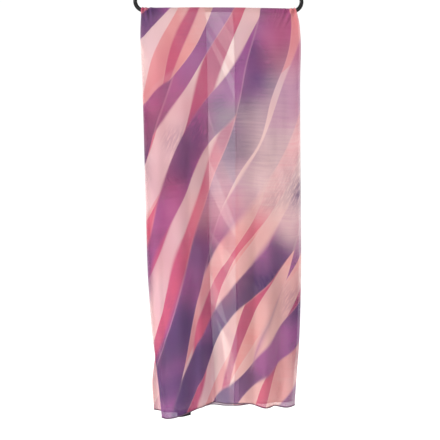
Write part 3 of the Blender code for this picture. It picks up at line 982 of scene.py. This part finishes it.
def flame_height(finish, over, down, seed, period, share):
    """A field that is above 0 inside the flames of a family, which swell and taper."""
    slow = finish.noise(finish.place(over, down * BEND_STRETCH, seed), BEND_SCALE, detail=1.0)
    bend = (slow - NOISE_MIDDLE) * BEND_REACH
    phase = finish.maths("FRACT", (over + bend) / period + seed)
    ridge = 1 - finish.maths("ABSOLUTE", phase * 2 - 1)
    swell_place = finish.place(over, down * SWELL_STRETCH, seed + SWELL_SEED)
    swell = finish.noise(swell_place, SWELL_SCALE, detail=1.0)
    return ridge + (swell - NOISE_MIDDLE) * SWELL_RISE - (1 - share)


def flamed(finish, across, along, brush):
    """Families of flames on a pale ground, each going softly from one ink to another."""
    colour = finish.blend(cloud(finish, across, along, "blush"), INKS["shell"], INKS["blush"])
    for seed, lean, period, share, first, second in FLAMES:
        angle = math.radians(lean)
        over = across * math.sin(angle) + along * math.cos(angle)
        down = along * math.sin(angle) - across * math.cos(angle)
        height = flame_height(finish, over, down, seed, period, share)
        misty = cloud(finish, across, along, "mist", seed)
        inside = finish.between(height, -EDGE_BLUR - misty * MIST_OUTSIDE,
                                misty * MIST_INSIDE + EDGE_BLUR)
        rim = finish.between(height, -RIM_FROM, -RIM_TO) * (1 - misty)
        drift = finish.noise(finish.place(over, down, seed), DRIFT_SCALE)
        drift = drift + (brush - NOISE_MIDDLE) * DRIFT_BRUSH
        inks = finish.blend(finish.between(drift, DRIFT_FROM, DRIFT_TO), INKS[first], INKS[second])
        colour = finish.blend(rim * RIM_SHARE, colour, INKS["shell"])
        colour = finish.blend(inside, colour, inks)
    return colour


# %% The whole print
PRINT_SHIFT = 0.13
WASH_FROM = 0.186
WASH_TO = 0.226
WASH_SHARE = 0.8
BRUSH_ACROSS = 16
BRUSH_ALONG = 210
BRUSH_SEED = 5.3
HAZE_BRUSH = 0.5
HAZE_LEAST = 0.55
GLOW_SHARE = 0.5
BRISTLE_LEAN = 0.5
BRISTLE_ACROSS = 230
BRISTLE_ALONG = 40
BRISTLE_SEED = 2.0
BRISTLE_FROM = 0.26
BRISTLE_TO = 0.60
SMUDGE_SHARE = 0.85


def washed(finish, across, along):
    """The plain misty colours along both long sides of the cut, which are folded in."""
    wash = finish.blend(cloud(finish, across, along, "lilac"), INKS["blush"], INKS["lilac"])
    for name in ("salmon", "mauve"):
        wash = finish.blend(cloud(finish, across, along, name) * WASH_SHARE, wash, INKS[name])
    return wash


def smudged(finish, across, along):
    """Dark smudges with the marks of a bristle brush that leans."""
    bristle_place = finish.place((across + along * BRISTLE_LEAN) * BRISTLE_ACROSS,
                                 (along - across * BRISTLE_LEAN) * BRISTLE_ALONG, BRISTLE_SEED)
    marks = finish.between(finish.noise(bristle_place, 1.0), BRISTLE_FROM, BRISTLE_TO)
    return cloud(finish, across, along, "smudge") * marks * SMUDGE_SHARE


def painted(finish):
    """The printed colour at each place of the flat cut."""
    across, along = flat_place(finish)
    along = along + PRINT_SHIFT
    brush_place = finish.place(across * BRUSH_ACROSS, along * BRUSH_ALONG, BRUSH_SEED)
    brush = finish.noise(brush_place, 1.0)
    from_middle = finish.maths("ABSOLUTE", across - SCARF_WIDTH / 2)
    colour = finish.blend(finish.between(from_middle, WASH_FROM, WASH_TO),
                          flamed(finish, across, along, brush), washed(finish, across, along))
    haze = cloud(finish, across, along, "haze") * (brush * HAZE_BRUSH + HAZE_LEAST)
    colour = finish.blend(haze, colour, INKS["shell"])
    glow = cloud(finish, across, along, "glow") * GLOW_SHARE
    colour = finish.blend(glow, colour, INKS["rose"])
    return finish.blend(smudged(finish, across, along), colour, INKS["plum"])


# %% [markdown]
# ## Chiffon
#
# Chiffon is half holes. Each layer lets about half of what is behind it through, so the finish
# is one shader whose Alpha is the cover of the threads, and real layers do the rest. Dark ink
# covers a little more. A fine plain weave shows in the cover and in a shallow bump, and a soft
# sheen stands for the smooth fibres.

# %% Weave
THREAD_PITCH = 0.00085
SLUB_SCALE = 160.0
SLUB_TURN = 2.5
DARK_COVER = 0.74
COVER_LOST_IN_PALE = 0.50
COVER_OF_THREADS = 0.03
CREPE_SCALE = 85.0
CREPE_RISE = 3


def waves_of(finish, amount, pitch):
    """A row of even waves, one for each pitch in metres."""
    return finish.maths("SINE", amount * (2 * math.pi / pitch))


def weave(finish):
    """Height of a plain weave from -1 to 1, a little uneven."""
    across, along = flat_place(finish)
    slub = finish.noise(finish.place(across, along), SLUB_SCALE) * SLUB_TURN
    turns = 2 * math.pi / THREAD_PITCH
    warp = finish.maths("SINE", across * turns + slub)
    weft = finish.maths("SINE", along * turns + slub)
    return warp * weft


def finish_chiffon():
    """Sheer printed cloth."""
    finish = Finish("printed_chiffon")
    colour = painted(finish)
    threads = weave(finish)
    paleness = finish.node("ShaderNodeRGBToBW", {}, {0: colour})
    cover = DARK_COVER - paleness * COVER_LOST_IN_PALE + threads * COVER_OF_THREADS
    across, along = flat_place(finish)
    crepe = finish.noise(finish.place(across, along), CREPE_SCALE, detail=3.0)
    surface = finish.bump(threads + crepe * CREPE_RISE, distance=0.00009, strength=0.5)
    finish.wear(finish.principled(Base_Color=colour, Alpha=cover, Roughness=0.72,
                                  Specular_IOR_Level=0.12, Sheen_Weight=0.15,
                                  Sheen_Roughness=0.45, Normal=surface), cloth)


finish_chiffon()

# %% [markdown]
# ## Hems and thread
#
# A rolled hem is the same print three or four layers thick, with the ridges of the roll under a
# twist of thread. The two short hems are sewn in a dark thread and roll tight, so they read as
# a thin dark line. The long hems are slacker and sewn in a pale thread that all but vanishes
# between the layers.

# %% Hem finish
HEM_SHADE = ink(70, 34, 60)
THREAD_INK = ink(96, 56, 84)
TWIST_PITCH = 0.0017
FUZZ_SCALE = 700.0
SHADE_SEED = 4.0
SHADE_SCALE = 60.0
SHADE_CHANGE = 0.2
FIBRE_SCALE = 2500.0
THREAD_TONE_SCALE = 90.0


def finish_roll(name, pieces, shade, cover):
    """Rolled print. shade is the least share of the hem's dark in it, and cover its Alpha."""
    finish = Finish(name)
    across, along = flat_place(finish)
    twist = waves_of(finish, across + along, TWIST_PITCH)
    fuzz = finish.noise(finish.place(across, along), FUZZ_SCALE, detail=3.0)
    patches = finish.noise(finish.place(across, along, SHADE_SEED), SHADE_SCALE)
    darker = shade + finish.between(patches, 0.3, 0.7) * SHADE_CHANGE
    surface = finish.bump(twist + fuzz, distance=0.00012, strength=0.6)
    finish.wear(finish.principled(Base_Color=finish.blend(darker, painted(finish), HEM_SHADE),
                                  Alpha=cover, Roughness=0.75, Sheen_Weight=0.15,
                                  Normal=surface), *pieces)


def finish_thread(name, pieces, first, second):
    """Twisted thread."""
    finish = Finish(name)
    where = finish.object_place()
    twist = finish.noise(where, FIBRE_SCALE)
    colour = finish.blend(finish.noise(where, THREAD_TONE_SCALE), first, second)
    finish.wear(finish.principled(Base_Color=colour, Roughness=0.5 + twist * 0.2,
                                  Normal=finish.bump(twist, distance=0.00005)), *pieces)


SHORT_HEMS = ("front_rolled_hem", "back_rolled_hem")
LONG_HEMS = ("left_rolled_hem", "right_rolled_hem")
finish_roll("rolled_print_dark", [hems[name] for name in SHORT_HEMS], shade=0.78, cover=0.94)
finish_roll("rolled_print_pale", [hems[name] for name in LONG_HEMS], shade=0.0, cover=0.42)
finish_thread("dark_thread", [stitches[name] for name in SHORT_HEMS], THREAD_INK, HEM_SHADE)
finish_thread("pale_thread", [stitches[name] for name in LONG_HEMS], INKS["shell"], INKS["blush"])

# %% [markdown]
# ## Ribbon and plastic
#
# The loop is woven ribbon, with fine ribs across it and a little lint. The hanger is glossy black
# plastic. Moulding leaves a faint line where the two halves of the mould met, and handling
# leaves a slight change of gloss.

# %% Ribbon finish
RIB_PITCH = 0.0006
LINT_SCALE = 900.0
RIBBON_BLACK = ink(9, 8, 10)
LINT_GREY = ink(30, 27, 31)


def finish_ribbon():
    """Bare black woven ribbon."""
    finish = Finish("black_woven_ribbon")
    across, along = flat_place(finish)
    ribs = waves_of(finish, along, RIB_PITCH)
    lint = finish.noise(finish.place(across, along), LINT_SCALE, detail=3.0)
    colour = finish.blend(finish.between(lint, 0.35, 0.8), RIBBON_BLACK, LINT_GREY)
    surface = finish.bump(ribs + lint, distance=0.00008)
    finish.wear(finish.principled(Base_Color=colour, Roughness=0.62 + lint * 0.2,
                                  Specular_IOR_Level=0.15, Sheen_Weight=0.05,
                                  Normal=surface), label)


finish_ribbon()

# %% Plastic finish
PARTING_CORE = 0.00014
PARTING_WIDTH = 0.00035
PARTING_RISE = 1.5
RUB_SCALE = 55.0
RIPPLE_SCALE = 240.0
PLASTIC_BLACK = ink(12, 11, 12)
RUBBED_BLACK = ink(22, 20, 21)


def finish_plastic():
    """Glossy black moulded plastic with a faint parting line."""
    finish = Finish("black_moulded_plastic")
    where = finish.object_place()
    off_line = finish.maths("ABSOLUTE", finish.axis(where, 1))
    parting = 1 - finish.between(off_line, PARTING_CORE, PARTING_WIDTH)
    rub = finish.noise(where, RUB_SCALE, detail=4.0, roughness=0.6)
    ripple = finish.noise(where, RIPPLE_SCALE)
    colour = finish.blend(finish.between(rub, 0.3, 0.75), PLASTIC_BLACK, RUBBED_BLACK)
    surface = finish.bump(parting * PARTING_RISE + ripple, distance=0.00006)
    finish.wear(finish.principled(Base_Color=colour, Roughness=0.14 + rub * 0.16,
                                  Specular_IOR_Level=0.15, Normal=surface), hanger)


finish_plastic()

# %% [markdown]
# ## Stage, light and camera
#
# Sheer cloth is lit from all round, so that its layers glow, with a little more from the upper
# left to shape the folds. A wide lamp in front is seen only in reflections: it draws the soft
# streak along the middle of the glossy tube. The floor is a pale disc well below the hem. The
# camera looks straight at the scarf from a few metres away, and its frame cuts the hanger.

# %% Floor
FLOOR_HEIGHT = -1.60
FLOOR_RADIUS = 14.0
FLOOR_SIDES = 96
FLOOR_PATCHES = 3.0
FLOOR_TONE = (0.80, 0.80, 0.80, 1)
FLOOR_LIGHTER = (0.84, 0.84, 0.84, 1)
WHITE = (1, 1, 1, 1)


def make_floor():
    """A pale round floor."""
    work = bmesh.new()
    bmesh.ops.create_circle(work, cap_ends=True, segments=FLOOR_SIDES, radius=FLOOR_RADIUS)
    bmesh.ops.translate(work, verts=work.verts, vec=(0, 0, FLOOR_HEIGHT))
    floor = new_piece("studio_floor", work)
    finish = Finish("pale_floor")
    patches = finish.noise(finish.object_place(), FLOOR_PATCHES)
    finish.wear(finish.principled(Base_Color=finish.blend(patches, FLOOR_TONE, FLOOR_LIGHTER),
                                  Roughness=0.9, Emission_Color=WHITE,
                                  Emission_Strength=0.30), floor)
    return floor


floor = make_floor()

# %% Light
SKY_STRENGTH = 1.04
SCARF_MIDDLE = (0, 0, -0.7)
TUBE_NEARBY = (0, 0, -0.3)


def soft_light(name, place, aim, size, watts):
    """A square area light at place, turned towards aim. The camera doesn't see it itself."""
    data = bpy.data.lights.new(name, "AREA")
    data.size = size
    data.energy = watts
    lamp = bpy.data.objects.new(name, data)
    lamp.location = place
    lamp.rotation_euler = (Vector(place) - Vector(aim)).to_track_quat("Z", "Y").to_euler()
    lamp.visible_camera = False
    bpy.context.scene.collection.objects.link(lamp)
    return lamp


world = bpy.data.worlds.new("white_studio")
world.use_nodes = True
sky = world.node_tree.nodes["Background"].inputs
sky["Color"].default_value = WHITE
sky["Strength"].default_value = SKY_STRENGTH
bpy.context.scene.world = world
soft_light("window_left", (-2.7, -1.3, 0.5), SCARF_MIDDLE, size=1.0, watts=85)
soft_light("window_behind", (2.4, 1.6, 0.5), SCARF_MIDDLE, size=1.4, watts=30)
shine = soft_light("shine_on_tube", (-0.1, -2.9, -0.4), TUBE_NEARBY, size=1.0, watts=120)
shine.visible_diffuse = False
print("sky strength", SKY_STRENGTH)

# %% Camera
PICTURE_PIXELS = 440
METRES_PER_PIXEL = 0.00245
VIEW_DISTANCE = 2.6
VIEW_MIDDLE = (0.0040, -0.7225)
SENSOR = 36.0
SHEER_LAYERS = 32
camera_data = bpy.data.cameras.new("front_camera")
camera_data.sensor_width = SENSOR
camera_data.lens = SENSOR * VIEW_DISTANCE / (PICTURE_PIXELS * METRES_PER_PIXEL)
camera = bpy.data.objects.new("front_camera", camera_data)
camera.location = (VIEW_MIDDLE[0], -VIEW_DISTANCE, VIEW_MIDDLE[1])
camera.rotation_euler = (math.pi / 2, 0, 0)
bpy.context.scene.collection.objects.link(camera)
bpy.context.scene.camera = camera
bpy.context.scene.view_settings.view_transform = "Standard"
bpy.context.scene.cycles.transparent_max_bounces = SHEER_LAYERS
print(f"lens {camera_data.lens:.1f} mm")

# %% [markdown]
# ## The body and the hidden solids
#
# Every piece rides on the one body and is listed under its material slot, and all but the
# stitches stand for solids, which are hidden.

# %% Body and hidden solids
STANDS_FOR = {
    cloth: ("front_fall", "turn_over_bar", "back_fall"),
    hems["front_rolled_hem"]: ("front_hem",),
    hems["back_rolled_hem"]: ("back_hem",),
    hems["left_rolled_hem"]: ("left_hem_front", "left_hem_turn", "left_hem_back"),
    hems["right_rolled_hem"]: ("right_hem_front", "right_hem_turn", "right_hem_back"),
    label: ("loop_label",),
    hanger: ("hanger",),
}
SLOTS = {
    "chiffon": [cloth],
    "rolled_hem": [*hems.values(), *stitches.values()],
    "black_ribbon": [label],
    "hanger_plastic": [hanger],
}
for slot_name, pieces in SLOTS.items():
    for piece in pieces:
        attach(piece, "root")
for piece, nodes in STANDS_FOR.items():
    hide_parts(*nodes)
floor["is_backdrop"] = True
print(len(STANDS_FOR) + len(stitches), "pieces declared")

# %% Sizes against the frame
boxes = {"cad": cad_box, "visual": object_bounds()}
for name, (low, high) in boxes.items():
    print(name, [round(value * 1000, 1) for value in (*low, *high)])
